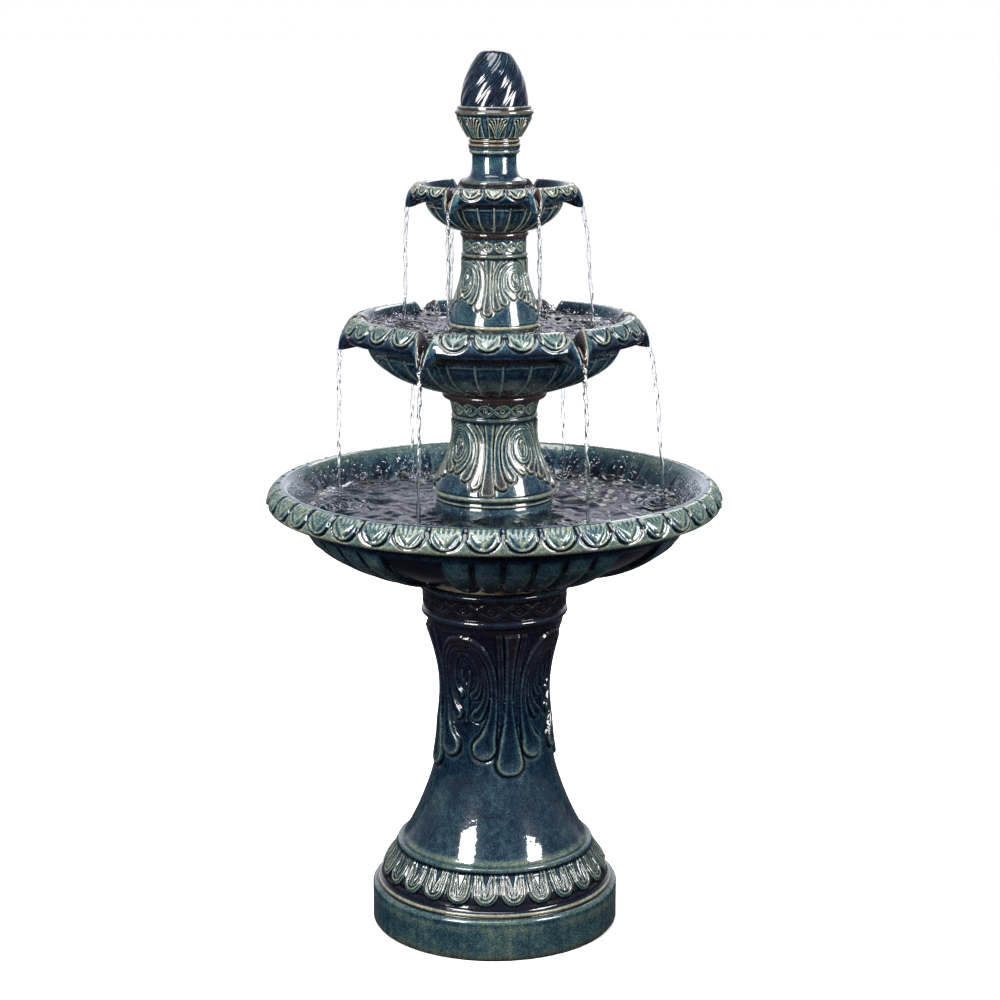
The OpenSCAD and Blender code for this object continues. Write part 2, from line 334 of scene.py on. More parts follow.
def glaze_material():
    """Reactive glaze: navy in grooves, teal on flats, grey-green where it breaks over an edge."""
    mat, graph, shader = material("reactive_glaze")
    plain = graph.coordinates()
    cloud = graph.noise(plain, 22, 6, 0.6)
    streak = graph.noise(graph.coordinates((1, 1, 0.16)), 130, 3)
    grain = graph.noise(plain, 520, 2, 0.7)
    fleck = graph.noise(plain, 130, 4, 0.65)

    def swing(value, gain):
        """A value about 0.5 turned into a push up or down."""
        return graph.math("MULTIPLY", graph.math("SUBTRACT", value, 0.5), gain)

    broken = graph.math("ADD", graph.attribute("edge"), swing(cloud, 0.36))
    broken = graph.math("ADD", broken, swing(fleck, 0.34))
    # The tone attribute includes painted shade under the basin and under the bowls' rims.
    broken = graph.math("ADD", broken, swing(graph.attribute("tone"), 0.36), True)
    colour = graph.ramp(broken, (
        (0.16, (0.0008, 0.0010, 0.0025)),
        (0.36, (0.0018, 0.0042, 0.0110)),
        (0.49, (0.0060, 0.0190, 0.0350)),
        (0.59, (0.0190, 0.0470, 0.0570)),
        (0.74, (0.0700, 0.0980, 0.0830)),
        (0.95, (0.1850, 0.1800, 0.1200)),
    ))
    streaked = graph.ramp(streak, ((0.30, (0.72, 0.76, 0.84)), (0.70, (1.26, 1.22, 1.14))))
    colour = graph.mix(1.0, colour, streaked, "MULTIPLY")
    grained = graph.ramp(grain, ((0.36, (0.42, 0.46, 0.52)), (0.66, (1.80, 1.72, 1.62))))
    colour = graph.mix(0.75, colour, grained, "MULTIPLY")
    patch = graph.grey_ramp(cloud, ((0.42, 0), (0.62, 1)))
    burnt = graph.math("ADD", graph.math("MULTIPLY", patch, 0.35), 0.65)
    burnt = graph.math("MULTIPLY", burnt, graph.attribute("rust"), True)
    graph.feed(shader.inputs["Base Color"], graph.mix(burnt, colour, (0.034, 0.0135, 0.0060)))

    graph.feed(shader.inputs["Roughness"], graph.grey_ramp(grain, ((0.35, 0.16), (0.70, 0.34))))
    set_inputs(shader, Coat_Weight=1.0, Coat_Roughness=0.03, Coat_IOR=1.5, Specular_IOR_Level=0.12)
    ripple = graph.noise(plain, 75, 2)
    graph.bump(ripple, 0.25, 0.0012, shader.inputs["Normal"], shader.inputs["Coat Normal"])
    return mat


def clay_material():
    """Unglazed buff clay."""
    mat, graph, shader = material("bare_clay")
    sand = graph.noise(graph.coordinates(), 120, 5, 0.7)
    colour = graph.ramp(sand, ((0.3, (0.30, 0.25, 0.15)), (0.7, (0.46, 0.40, 0.27))))
    graph.feed(shader.inputs["Base Color"], colour)
    set_inputs(shader, Roughness=0.8)
    graph.bump(sand, 0.4, 0.0006, shader.inputs["Normal"])
    return mat


def water_material(name, tint):
    mat, graph, shader = material(name)
    set_inputs(shader, Roughness=0.02, IOR=1.333, Transmission_Weight=1.0)
    fine = graph.noise(graph.coordinates(), 160, 2)
    lighter = tuple(min(1.0, 1.03 * c) for c in tint)
    graph.feed(shader.inputs["Base Color"], graph.ramp(fine, ((0.3, tint), (0.7, lighter))))
    graph.bump(fine, 0.15, 0.001, shader.inputs["Normal"])
    return mat


def moulded_material(name, low, high, rough, grain_scale, depth, metallic=0.0, clear=0.0):
    """Finish with a fine grain between two colours, for the rubber, plastic and metal pieces."""
    mat, graph, shader = material(name)
    grain = graph.noise(graph.coordinates(), grain_scale, 3)
    graph.feed(shader.inputs["Base Color"], graph.ramp(grain, ((0.35, low), (0.65, high))))
    gloss = graph.grey_ramp(grain, ((0.3, rough * 0.8), (0.7, min(1.0, rough * 1.25))))
    graph.feed(shader.inputs["Roughness"], gloss)
    set_inputs(shader, Metallic=metallic, Transmission_Weight=clear)
    graph.bump(grain, 0.3, depth, shader.inputs["Normal"])
    return mat


GLAZE = glaze_material()
BARE_CLAY = clay_material()
POOL_WATER = water_material("pool_water", (0.80, 0.84, 0.90))
STREAM_WATER = water_material("stream_water", (0.84, 0.87, 0.90))


# ---- relief patterns

def egg(x, y, half, size):
    """Egg-and-dart unit: a rimmed tongue in a deep groove, with five ribs that fan up from its tip."""
    d = u_distance(x, y, half)
    thin = max(0.09 * half, 0.75)
    body = 1.5 * smooth(0.3, -1.8, d)
    rim = 0.9 * ridge(d + 1.5, 0.9)
    groove = -2.1 * ridge(d - 1.4, 1.4)
    spread = 0.38 * np.clip(y - 0.30 * half, 0, 0.9 * half)
    ribs = np.maximum.reduce([ridge(np.abs(x) - step * spread, thin) for step in (0, 1, 2)])
    field = smooth(-2.4, -3.8, d)
    return size * (body + rim + groove + field * (1.8 * ribs - 1.1))


def leaf(x, y, half):
    """Tongue leaf with a double outline and a V of ribs, on its own scalloped ground."""
    d = u_distance(x, y, half)
    ground = 2.4 * smooth(4.6, 3.2, d) - 1.6
    outline = 1.6 * ridge(d + 0.9, 1.1)
    hollow = -0.9 * smooth(-1.9, -3.4, d)
    inner = 1.2 * ridge(d + 5.0, 1.1)
    veins = 1.2 * ridge(np.abs(x) - 0.24 * np.clip(y - 0.6 * half, 0, None), 1.0)
    return ground + outline + hollow + inner + veins * smooth(-4.8, -6.0, d)


def path_samples(points, radius_at, count=36):
    """Smooth path through (angle, height, half width) points, as (distance across, height, half width)."""
    p = np.array(points, float)
    p = np.vstack([2 * p[0] - p[1], p, 2 * p[-1] - p[-2]])
    out = []
    for k in range(1, len(p) - 2):
        steps = max(4, count // (len(p) - 3))
        for t in np.linspace(0, 1, steps, endpoint=(k == len(p) - 3)):
            out.append(0.5 * (2 * p[k] + (p[k + 1] - p[k - 1]) * t
                              + (2 * p[k - 1] - 5 * p[k] + 4 * p[k + 1] - p[k + 2]) * t ** 2
                              + (3 * p[k] - p[k - 1] - 3 * p[k + 1] + p[k + 2]) * t ** 3))
    out = np.array(out)
    across = np.radians(out[:, 0]) * radius_at(out[:, 1])
    return np.column_stack([across, out[:, 1], out[:, 2]])


def palmette(azimuth, radius, height, axis, bands, radius_at, depth):
    """Nested bands that arch over an eye and end in drops, mirrored about each eye's axis, four times round.
    Each band is (path, swell). It gives the push and where the bands are."""
    folded = np.abs(wrap(azimuth - axis, 90.0))
    x = np.radians(folded) * radius
    push = np.zeros(x.shape)
    best = np.full(x.shape, 9.0)
    for band, swell in bands:
        q = np.full(x.shape, 9.0)
        width = np.ones(x.shape)
        for sx, sz, sw in path_samples(band, radius_at):
            closer = np.hypot(x - sx, height - sz) / sw
            width = np.where(closer < q, sw, width)
            q = np.minimum(q, closer)
        inside = np.clip(q, 0, 1)
        dish = 1 - np.clip(width / 22.0, 0.30, 0.80) * (1 - inside ** 2)
        lift = swell * depth * np.clip(width / 5.0, 0.45, 1.8) ** 0.8 * dish * np.sqrt(1 - inside ** 5)
        push = np.maximum(push, np.where(q < 1, lift, 0))
        best = np.minimum(best, q)
    groove = 0.40 * depth * ridge(best - 1.10, 0.14)
    return push - groove, smooth(1.02, 0.90, best)


def guilloche(azimuth, height, middle, half, eye, first, repeat, radius):
    """Two ribbons that weave round a row of eyes."""
    phase = (azimuth - first) / repeat
    swing = half * np.sin(np.pi * (phase + 0.5))
    slope = np.cos(np.pi * (phase + 0.5))
    v = height - middle
    width = 0.35 * half
    lean = np.sqrt(1 + (np.pi * half / (np.radians(repeat) * radius) * slope) ** 2)
    push = np.zeros(np.broadcast(azimuth, height).shape)
    for sign, lift in ((-1, 1.5), (1, 1.15)):
        q = np.clip(np.abs(v - sign * swing) / (width * lean), 0, 1)
        push = np.maximum(push, lift * (0.6 + 0.4 * q ** 2) * np.sqrt(1 - q ** 4))
    x = np.radians(wrap(azimuth - first, repeat)) * radius
    d = np.hypot(x, v)
    return np.maximum(push, 1.2 * ridge(d - eye, 0.28 * eye)) * (np.abs(v) < 1.6 * half)


# ---- pedestal

def pedestal_base():
    p = Profile()
    p.add("foot", line([(149, 0), (158, 0)], 3))
    p.add("drum", line([(158, 0), (160, 3), (160, 47)], 5))
    p.add("shoulder", arc(154, 48, 6, 0, 90, 1.3))
    p.add("bead", line([(152.6, 54)], 1) + arc(150.5, 57, 2.5, -60, 90, 1.0))
    p.add("recess", line([(147.5, 62), (146.5, 66)], 1.3))
    p.add("leaves", curve((146, 68), (144, 82), (133, 88), (128, 101), 1.25))
    p.add("ring", arc(124, 106.5, 3.6, -60, 90, 0.9))
    p.add("joint", line([(122, 109.6), (117, 108), (118.5, 99), (137, 62), (149, 44), (149, 0)], 14))
    leaf_step, leaf_half, leaf_tip = 14.4, 12.0, 4.0
    marks = {}

    def relief(azimuth, radius, height, spans):
        push = np.zeros(radius.shape)
        rows = spans["leaves"]
        y = run_length(radius[rows], height[rows]) - leaf_tip
        x = np.radians(wrap(azimuth + 4.5, leaf_step)) * radius[rows]
        push[rows] = leaf(x, y, leaf_half)
        marks["ground"] = smooth(3.6, 4.6, u_distance(x, y, leaf_half))
        return push

    def tone(azimuth, radius, height, spans):
        drum = 0.62 + 0.12 * smooth(60, 20, height) + 0.35 * ridge(height - 44, 8) * (height < 54)
        return shades(p, drum, shoulder=0.52, bead=0.85, recess=-0.20, ring=0.30,
                      leaves=0.68 - 0.8 * marks["ground"])

    def rust(azimuth, radius, height, spans):
        return 0.5 * smooth(12, 0, height)

    stoneware("pedestal_base_ware", p, 840, "pedestal", "pedestal", relief, tone, rust=rust)


def pedestal_shaft():
    p = Profile()
    p.add("rim", line([(117, 101), (121.5, 107.5), (120, 113)], 3))
    p.add("flare", curve((120, 113), (106, 134), (93, 165), (84, 193), 4)
          + curve((84, 193), (82, 200), (80, 206), (78.6, 213), 4))
    p.add("shaft", curve((78.6, 213), (73.5, 240), (69.5, 272), (68.7, 305), 1.75)
          + curve((68.7, 305), (68, 340), (76, 372), (86, 404), 1.75))
    p.add("collar", line([(86, 404), (87.6, 412)], 1.6) + arc(89, 418, 5, -80, 75, 1.0)
          + line([(91.2, 424), (92.5, 446)], 1.15) + arc(93, 452, 4.5, -70, 90, 0.9))
    p.add("deck", line([(93, 456.8), (70, 456.8), (70, 448)], 6))
    p.add("inside", curve((70, 448), (81, 410), (60, 350), (59.7, 305), 14)
          + curve((59.7, 305), (60, 260), (68, 210), (76, 190), 14)
          + curve((76, 190), (86, 155), (100, 128), (117, 101), 14))
    outer = p.array()[p.spans["flare"].start:p.spans["collar"].stop]
    trunk = slice(p.spans["flare"].start, p.spans["shaft"].stop)
    weave_low, weave_high = 424, 446
    marks = {}

    def radius_at(z):
        return np.interp(z, outer[:, 1], outer[:, 0])

    bands = (
        (((0, 395, 6.4), (12, 390, 6.4), (22, 373, 6.0), (28, 346, 5.2), (29.3, 315, 5.2),
          (27.5, 288, 6.6), (23, 264, 10.5), (19.5, 251, 15.5)), 1.0),
        (((0, 384, 4.2), (9, 380, 4.2), (17, 363, 4.2), (21.2, 337, 4.2), (20.6, 316, 4.6),
          (16, 301, 6.2), (11.5, 293, 8.2)), 1.0),
        (((0, 375.5, 3.3), (7, 372, 3.3), (12.5, 358, 3.4), (15.0, 341, 3.6), (13, 327, 4.6),
          (8.5, 319, 6.4)), 1.0),
        (((4.5, 352, 1.6), (4.2, 340, 2.2), (1.5, 330, 2.8), (0, 318, 2.8), (0, 300, 2.6),
          (0, 284, 1.4)), 1.3),
        (((45, 410, 12.0), (45, 385, 8.0), (45, 350, 6.0), (45, 315, 5.6), (45, 285, 8.0), (45, 256, 13.0),
          (45, 233, 17.6)), 1.1),
        (((33.5, 408, 5.0), (35.0, 380, 4.6), (36.6, 345, 4.2), (36.9, 315, 4.0), (36.0, 285, 4.0)), 0.8),
    )

    def relief(azimuth, radius, height, spans):
        push = np.zeros(radius.shape)
        push[trunk], marks["carved"] = palmette(azimuth, radius[trunk], height[trunk],
                                                axis=-29.8, bands=bands, radius_at=radius_at, depth=4.0)
        rows = spans["collar"]
        woven = (height[rows] > weave_low) & (height[rows] < weave_high)
        push[rows] += woven * guilloche(azimuth, height[rows], middle=435, half=8.4, eye=3.2,
                                        first=-2.7, repeat=22.5, radius=92.0)
        return push

    def tone(azimuth, radius, height, spans):
        # Painted shade: the shaft darkens towards its top, and the collar further still, where the basin
        # above shades them.
        t = 0.56 - 0.42 * smooth(190, 320, height) - 0.20 * smooth(385, 420, height)
        t[spans["flare"]] += 0.75 * ridge(height[spans["flare"]] - 114, 3.0)
        t[trunk] += 0.10 * marks["carved"] * smooth(300, 250, height[trunk]) - 0.08
        return t

    def rust(azimuth, radius, height, spans):
        t = 0.17 * smooth(290, 380, height) * smooth(460, 450, height)
        t[trunk] *= 0.5 + 0.9 * marks["carved"]
        return t

    stoneware("pedestal_shaft_ware", p, 400, "pedestal", "pedestal", relief, tone, rust=rust)


# ---- basin

def basin():
    p = Profile()
    p.add("underfloor", line([(14, 468), (76, 468), (76, 457)], 20))
    p.add("foot_ring", line([(76, 457), (88.5, 457.2), (89.5, 466), (92, 473)], 3))
    p.add("gadroons", curve((94, 475.5), (154, 477), (212, 497.5), (244, 538), 4.7))
    p.add("cove", line([(246, 537), (247, 544), (252, 549), (272, 552)], 3.5))
    p.add("lip", line([(272, 552), (281, 553)], 2) + arc(279.5, 560, 7.5, -75, -38, 1.6))
    p.add("eggs", arc(279.5, 560, 7.5, -30, 10, 1.3)
          + curve((287, 562), (286, 573), (279, 581), (269, 583.6), 1.25)[1:])
    p.add("crest", line([(269, 583.6), (266.5, 584), (264, 583)], 1.3))
    p.add("wall", curve((263, 582), (256, 576), (244, 560), (236, 541), 4)
          + curve((236, 541), (221, 518), (184, 494), (150, 486.5), 9))
    p.add("floor", line([(150, 486.5), (90, 485), (14, 485)], 22))
    egg_step, egg_half, egg_tip = 9.0, 18.6, 3.5
    lobe_step, lobe_tip = 9.0, 10.0
    lobes_in_group, group_step, group_middle = 6, 72.0, 11.7
    marks = {}

    def relief(azimuth, radius, height, spans):
        push = np.zeros(radius.shape)
        from_group = wrap(azimuth - group_middle, group_step)
        inside = np.abs(from_group) < lobe_step * lobes_in_group / 2

        rows = spans["gadroons"]
        r = radius[rows]
        along = run_length(r, height[rows])
        half = np.radians(lobe_step / 2) * r
        x = np.radians(from_group % lobe_step - lobe_step / 2) * r
        d = u_distance(x, along - lobe_tip, half)
        lobe = np.sqrt(1 - np.clip(1 + d / half, 0, 1) ** 2.4)
        top = smooth(along[-1:] + 2, along[-1:] - 22, along)
        push[rows] = np.where(inside & (d < 0), 7.5 * lobe * (0.45 + 0.55 * top), 0)
        marks["lobe"] = np.where(inside & (d < 0), lobe, 0)
        crease = np.where(inside & (d > -0.16 * half) & (d < 2), 1.0, 0)
        marks["crease"] = np.where(inside & (d > 0) & (along < 60), 1.0, 0.6 * crease)

        rows = spans["eggs"]
        along = run_length(radius[rows], height[rows])
        x = np.radians(wrap(azimuth + 2.4, egg_step)) * radius[rows]
        push[rows] = egg(x, along - egg_tip, egg_half, 1.15) * smooth(0, 5.0, along[-1:] - along)
        d = u_distance(x, along - egg_tip, egg_half)
        marks["gap"] = ridge(d - 1.4, 1.9) + 0.25 * smooth(2.0, 5.0, d) * smooth(9.0, 16.0, along)

        rows = spans["wall"]
        fade = smooth(500, 530, height[rows]) * smooth(582, 560, height[rows])
        wave = np.where(inside, np.abs(np.cos(np.pi * from_group / lobe_step)) ** 0.8, 0)
        push[rows] = -1.6 * fade * wave
        marks["wave"] = fade * wave
        return push

    def tone(azimuth, radius, height, spans):
        # The cove under the rim is painted dark as a shadow (cove=0.10).
        return shades(p, np.full(radius.shape, 0.50), lip=0.70, crest=0.45, cove=0.10,
                      eggs=0.84 - 1.3 * marks["gap"],
                      gadroons=0.05 + 0.62 * marks["lobe"] - 0.9 * marks["crease"],
                      wall=0.62 + 0.30 * smooth(565, 582, height[spans["wall"]]) - 0.35 * marks["wave"])

    stoneware("basin_ware", p, 880, "basin", "basin", relief, tone, bare=("underfloor", "foot_ring"))


# ---- tiered bowls

def cubic(points, count):
    """Rows of a cubic curve through four control points, without its last point."""
    t = np.arange(count) / count
    k = np.stack([(1 - t) ** 3, 3 * (1 - t) ** 2 * t, 3 * (1 - t) * t * t, t ** 3], 1)
    return k @ np.array(points, float)


def spouted_bowl(name, node, body, columns, foot, panels, sections, floor, spout, beak, egg_count, egg_step,
                 egg_half, egg_tip, panel_step, size, tones):
    """Bowl whose rim runs out into a grooved beak six times round, with eggs and panels between the beaks.
    Each section is (span, rim, beak, groove, rows, inner and outer half width of the groove).
    beak is the half width of the beak's tip and of its root. tones are the panels', eggs' and underside's;
    the underside's is painted shade under the rim."""
    p = Profile()
    p.add("foot", foot)
    p.add("panels", panels)
    for span, rim, _, _, count, _, _ in sections:
        p.add(span, cubic(rim, count))
    p.add("inside", floor)
    beaks = np.vstack([cubic(points, count) for _, _, points, _, count, _, _ in sections])
    grooves = np.vstack([cubic(points, count) for _, _, _, points, count, _, _ in sections])
    ends = np.array([section[5:] for section in sections] + [sections[-1][5:]])
    widths = np.vstack([start + (end - start) * (np.arange(section[4]) / section[4])[:, None]
                        for start, end, section in zip(ends[:-1], ends[1:], sections)])
    shaped = slice(p.spans["under"].start, p.spans["wall"].stop)
    grooved = slice(p.spans["face"].start, p.spans["wall"].stop)
    low, edge = (widths[grooved.start - shaped.start:, k:k + 1] for k in (0, 1))
    outline_radius = p.array()[:, :1]
    panel_reach = 2.0 * panel_step
    egg_reach = egg_step * egg_count / 2
    egg_shift = 0 if egg_count % 2 else egg_step / 2
    marks = {}

    def from_spout(azimuth):
        """Distance to the side of the nearest spout's middle."""
        return np.abs(np.radians(wrap(azimuth - spout, SPOUT_STEP))) * outline_radius

    def base(outline, azimuth):
        radius = np.repeat(outline[:, :1], azimuth.shape[1], 1)
        height = np.repeat(outline[:, 1:], azimuth.shape[1], 1)
        side = from_spout(azimuth)[shaped]
        out = smooth(beak[1], beak[0], side)
        cut = smooth(widths[:, 1:], widths[:, :1], side)
        for grid, k in ((radius, 0), (height, 1)):
            shape = grid[shaped] + out * (beaks[:, k:k + 1] - grid[shaped])
            grid[shaped] = shape + cut * (grooves[:, k:k + 1] - shape)
        return radius, height

    def relief(azimuth, radius, height, spans):
        push = np.zeros(radius.shape)
        g = wrap(azimuth - (spout - SPOUT_STEP / 2 + 0.7), SPOUT_STEP)

        rows = spans["panels"]
        r = radius[rows]
        along = run_length(r, height[rows])
        inside = np.abs(g) < panel_reach + 0.5 * panel_step
        near = np.clip(g, -panel_reach, panel_reach)
        local = wrap(near - panel_step / 2, panel_step) + (g - near)
        half = np.radians(panel_step / 2) * r
        d = u_distance(np.radians(local) * r, along - 3.0 * size, half)
        top = along[-1:] - along
        seam = 1.9 * size * ridge(d, 1.5 * size) * smooth(0, 6 * size, along)
        scoop = -2.4 * size * smooth(0, 0.7 * half, -d)
        bar = 1.5 * size * ridge(top - 4.0 * size, 1.6 * size) * (np.abs(g) < panel_reach + 1.0)
        push[rows] = np.where(inside, np.maximum(seam, bar) + scoop * smooth(2, 7 * size, top), 0)

        rows = spans["face"]
        along = run_length(radius[rows], height[rows])
        inside = smooth(egg_reach + 0.4, egg_reach - 0.4, np.abs(g))
        x = np.radians(wrap(g + egg_shift, egg_step)) * radius[rows]
        eggs = egg(x, along - egg_tip, egg_half, size)
        push[rows] = inside * eggs * smooth(0, 4.0 * size, along[-1:] - along)
        d = u_distance(x, along - egg_tip, egg_half)
        marks["gap"] = inside * (ridge(d - 1.2 * size, 1.8 * size) + 0.5 * smooth(1.5, 5.0, d / size))

        push[grooved] += size * ridge(from_spout(azimuth)[grooved] - edge - 1.0 * size, 1.6 * size)
        return push

    def tone(azimuth, radius, height, spans):
        side = from_spout(azimuth)
        rows = spans["face"]
        along = run_length(radius[rows], height[rows])
        eggs = tones[1] - 1.0 * marks["gap"] - 0.45 * smooth(13.0 * size, 3.0 * size, along) \
            - 0.25 * smooth(18.0 * size, 9.0 * size, side[rows])
        # The underside of the rim gets painted shade from the last tone.
        t = shades(p, np.full(radius.shape, tones[0]), under=tones[2], inside=0.20, face=eggs)
        t[grooved] -= 0.9 * smooth(edge, low, side[grooved])
        return t

    def rust(azimuth, radius, height, spans):
        t = shades(p, np.zeros(radius.shape), under=0.25)
        t[grooved] = ridge(from_spout(azimuth)[grooved] - edge + 1.2 * size, 1.5 * size)
        return t

    stoneware(name, p, columns, node, body, relief, tone, base=base, rust=rust)


def middle_bowl():
    foot = line([(12, 707), (47, 707), (47, 697), (52, 697), (52, 703.2), (66, 703.2)], 12)
    panels = curve((68, 704.5), (108, 713), (150, 730), (157.5, 757), 2.3)
    sections = (
        ("under", ((158, 757), (160, 763), (176, 765), (187, 768)),
         ((158, 757), (168, 761), (184, 753), (193.5, 754)),
         ((158, 757), (168, 761), (184, 753), (193.5, 754)), 14, 0.8, 2.5),
        ("face", ((187, 768), (189.5, 779), (181, 792), (169.5, 795)),
         ((194.5, 754.5), (194.5, 775), (184, 790), (169.5, 794.5)),
         ((194.5, 755), (189, 767), (177, 778), (164, 782)), 27, 0.8, 2.5),
        ("crest", ((169.5, 795), (167, 796), (163, 794), (161, 791)),
         ((169.5, 794.5), (167, 795.5), (163, 793.5), (161, 790.5)),
         ((164, 782), (160, 782.5), (157, 781.5), (155, 780)), 6, 6.0, 14.0),
        ("wall", ((161, 791), (156, 784), (149, 766), (146, 752)),
         ((161, 790.5), (156, 784), (149, 766), (146, 752)),
         ((155, 780), (151, 774), (148, 762), (146, 752)), 12, 7.0, 15.0),
    )
    floor = curve((146, 752), (142, 742), (118, 722), (95, 716.5), 8) \
        + line([(95, 716.5), (60, 716), (12, 716)], 16)
    # The last tone is painted shade under the rim.
    spouted_bowl("middle_bowl_ware", "middle_bowl", "middle_tier", 720, foot, panels, sections, floor,
                 spout=MIDDLE_SPOUT, beak=(3.0, 19.0), egg_count=4, egg_step=12.7, egg_half=16.0, egg_tip=9.0,
                 panel_step=12.5, size=1.0, tones=(0.47, 0.78, 0.05))


def top_bowl():
    foot = line([(11, 906), (31, 906), (31, 896), (35, 896), (35, 902.2), (42, 902.2)], 10)
    panels = curve((43, 903), (62, 907), (80, 920), (84, 936), 1.3)
    sections = (
        ("under", ((84, 936), (86, 940), (94, 939), (101.5, 942)),
         ((84, 936), (90, 937), (100, 928), (108.5, 930)),
         ((84, 936), (90, 937), (100, 928), (108.5, 930)), 12, 0.6, 1.8),
        ("face", ((101.5, 942), (104.5, 949), (101, 958), (94, 959)),
         ((109.5, 930.5), (110, 947), (103, 957.5), (94, 958.5)),
         ((109.5, 931), (105.5, 940), (98, 947), (90, 949.5)), 22, 0.6, 1.8),
        ("crest", ((94, 959), (92.5, 959.4), (91, 958.6), (90, 957.5)),
         ((94, 958.5), (92.5, 959), (91, 958.2), (90, 957)),
         ((90, 949.5), (88, 950), (87, 949.4), (86, 948.5)), 5, 3.5, 8.0),
        ("wall", ((90, 957.5), (86, 952), (80, 940), (77, 932)),
         ((90, 957), (86, 952), (80, 940), (77, 932)),
         ((86, 948.5), (84, 945), (79, 938), (77, 932)), 10, 4.0, 8.5),
    )
    floor = curve((77, 932), (74, 926), (60, 917), (52, 914.5), 6) \
        + line([(52, 914.5), (40, 914), (11, 914)], 12)
    # The last tone is painted shade under the rim.
    spouted_bowl("top_bowl_ware", "top_bowl", "top_tier", 600, foot, panels, sections, floor,
                 spout=TOP_SPOUT, beak=(2.0, 17.0), egg_count=3, egg_step=16.0, egg_half=11.4, egg_tip=5.5,
                 panel_step=13.8, size=0.72, tones=(0.52, 0.78, 0.15))


# ---- columns

def column(name, node, body, columns, p, axis, bands, depth, weave, ring_rust):
    """Column with palmettes on its span "carved" and a guilloche, set by weave, on its span "weave".
    ring_rust lists (low, high, amount) of the heights where the glaze burns brown."""
    outer = p.array()[p.spans["carved"]]
    marks = {}

    def radius_at(z):
        return np.interp(z, outer[:, 1], outer[:, 0])

    def relief(azimuth, radius, height, spans):
        push = np.zeros(radius.shape)
        rows = spans["carved"]
        push[rows], marks["carved"] = palmette(azimuth, radius[rows], height[rows],
                                               axis, bands, radius_at, depth)
        rows = spans["weave"]
        push[rows] += guilloche(azimuth, height[rows], first=10.8, repeat=22.5, **weave)
        return push

    def tone(azimuth, radius, height, spans):
        return shades(p, np.full(radius.shape, 0.60), weave=0.70, torus=0.25, cap=-0.05,
                      carved=0.52 + 0.16 * marks["carved"])

    def rust(azimuth, radius, height, spans):
        t = np.zeros(radius.shape)
        for low, high, amount in ring_rust:
            t += amount * smooth(low - 1.5, low, height) * smooth(high + 1.5, high, height)
        rows = spans["carved"]
        low = height[rows].min()
        span = height[rows].max() - low
        t[rows] += 0.55 * marks["carved"] * smooth(0.50, 0.15, (height[rows] - low) / span)
        t[spans["inside"]] = 0
        return t

    stoneware(name, p, columns, node, body, relief, tone, rust=rust)


LOWEST_DROP = 578.0
COLUMN_BANDS = (
    (((0, 650.5, 3.4), (5.5, 648.5, 3.4), (9.2, 640, 3.4), (9.6, 631, 3.4), (6.5, 623, 3.6),
      (1.5, 619.5, 4.0)), 1.0),
    (((0, 657.0, 3.0), (8.5, 654.5, 3.2), (14.9, 645, 3.6), (17.6, 632, 3.7), (15.2, 620, 4.2),
      (10, 612, 5.4), (6.2, 608.5, 6.2)), 1.0),
    (((0, 663.5, 3.2), (12, 660.5, 3.4), (22, 649.5, 3.8), (26.0, 635, 3.8), (25.4, 618, 4.4),
      (22.0, 606, 6.0), (20.4, 601.5, 7.0)), 1.0),
    (((14, 668, 3.0), (25, 663, 3.6), (33.0, 649, 3.8), (35.4, 633, 3.8), (35.0, 613, 4.6),
      (33.0, 598, 6.6), (32.2, 593.5, 7.6)), 1.0),
    (((45, 668, 7.0), (45, 650, 5.0), (45, 632, 4.2), (45, 612, 5.2), (45, 594, 7.6), (45, 586, 8.8)), 1.1),
    (((0, 642, 3.4), (0, 636, 3.0)), 1.5),
)


def fountain_bands(low, scale, spread):
    """The columns' palmette bands, with the lowest drop's tip at low."""
    return [([(angle, low + (z - LOWEST_DROP) * scale, half * spread) for angle, z, half in path], swell)
            for path, swell in COLUMN_BANDS]


def lower_column():
    p = Profile()
    p.add("base", line([(65, 478.2), (74, 478.2)], 5))
    p.add("shank", line([(74, 478.2), (74.5, 560)], 12) + line([(74.5, 560), (73.2, 563), (74.3, 565.5)], 0.9)
          + line([(74.3, 565.5), (73.2, 568.5), (74.6, 571.5)], 0.9) + arc(75.5, 575, 3.2, -50, 60, 0.8))
    p.add("carved", curve((76.2, 579), (68, 600), (54, 620), (51.8, 652), 0.95)
          + line([(51.8, 652), (51.8, 665)], 0.95))
    p.add("torus", arc(51.6, 670.3, 3.0, -70, 70, 0.75))
    p.add("weave", curve((52.9, 674), (53.4, 682), (55, 688), (57.5, 691), 0.8))
    p.add("cap", line([(57.5, 691), (59.5, 692.2)], 1) + arc(60.5, 697.3, 5.2, -80, 90, 0.9))
    p.add("inside", line([(60.5, 703), (53, 703), (53, 690)], 6)
          + curve((53, 690), (42, 680), (42, 640), (50, 615), 10)
          + curve((50, 615), (58, 600), (65, 590), (65, 566), 10) + line([(65, 566), (65, 478.2)], 22))
    column("lower_column_ware", "lower_column", "middle_tier", 400, p, axis=38.5,
           bands=fountain_bands(578, 1.0, 1.0), depth=3.0,
           weave=dict(middle=682.6, half=6.2, eye=2.5, radius=54.0),
           ring_rust=((667, 673.5, 0.25), (692, 703, 0.75)))


